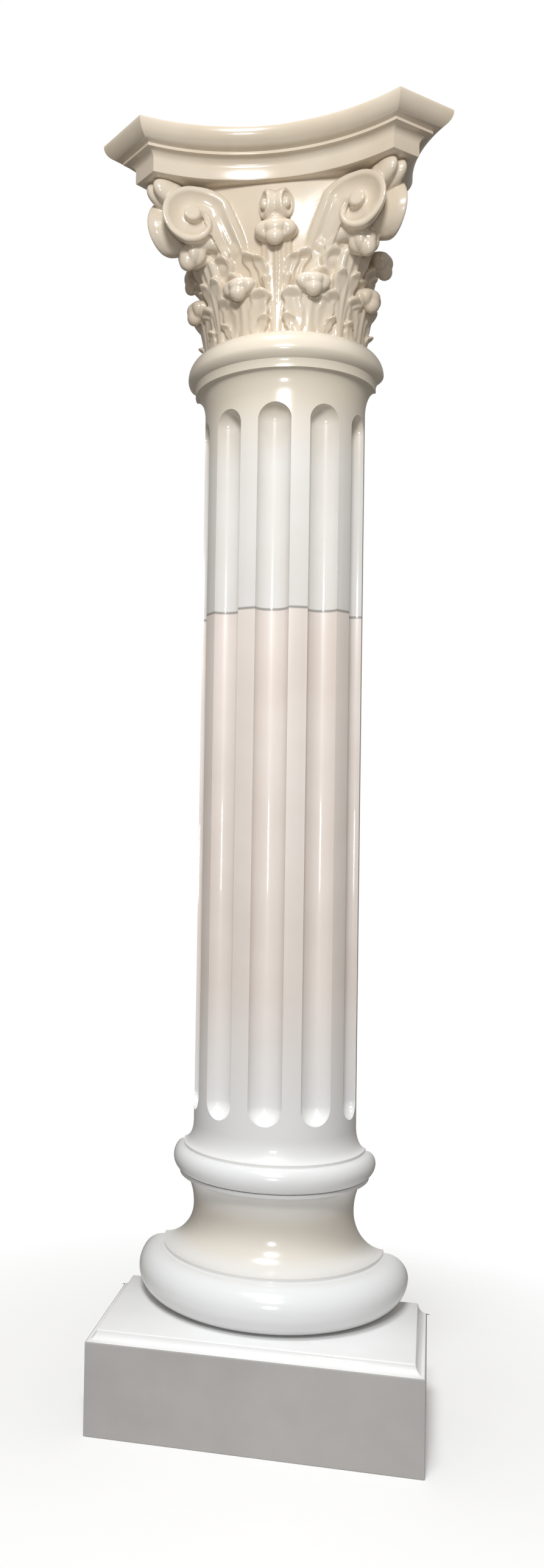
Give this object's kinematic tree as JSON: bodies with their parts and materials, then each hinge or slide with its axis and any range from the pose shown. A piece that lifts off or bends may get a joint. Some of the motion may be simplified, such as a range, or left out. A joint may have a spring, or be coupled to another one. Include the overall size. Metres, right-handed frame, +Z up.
{
  "type": "plaster half column",
  "caption": "Half-round fluted Corinthian column in glossy cast plaster, with a flat back, an acanthus and volute capital, an Attic base and a square plinth.",
  "frame": {"origin": "the middle of the plinth's rectangular underside", "axes": "+Z up the column, -Y out of its front, +X to the right seen from the front; the flat back lies half the plinth's depth behind the origin, at Y = 0.1675 m"},
  "size_m": [0.7268, 0.3634, 2.674],
  "materials": {
    "enamelled_plaster": "glossy warm white enamel on cast plaster",
    "plinth_plaster": "satin grey-beige paint on cast plaster"
  },
  "bodies": {
    "root": {"plinth": "plinth_plaster", "base": "enamelled_plaster", "lower_drum": "enamelled_plaster", "upper_drum": "enamelled_plaster", "capital": "enamelled_plaster"}
  },
  "joints": []
}
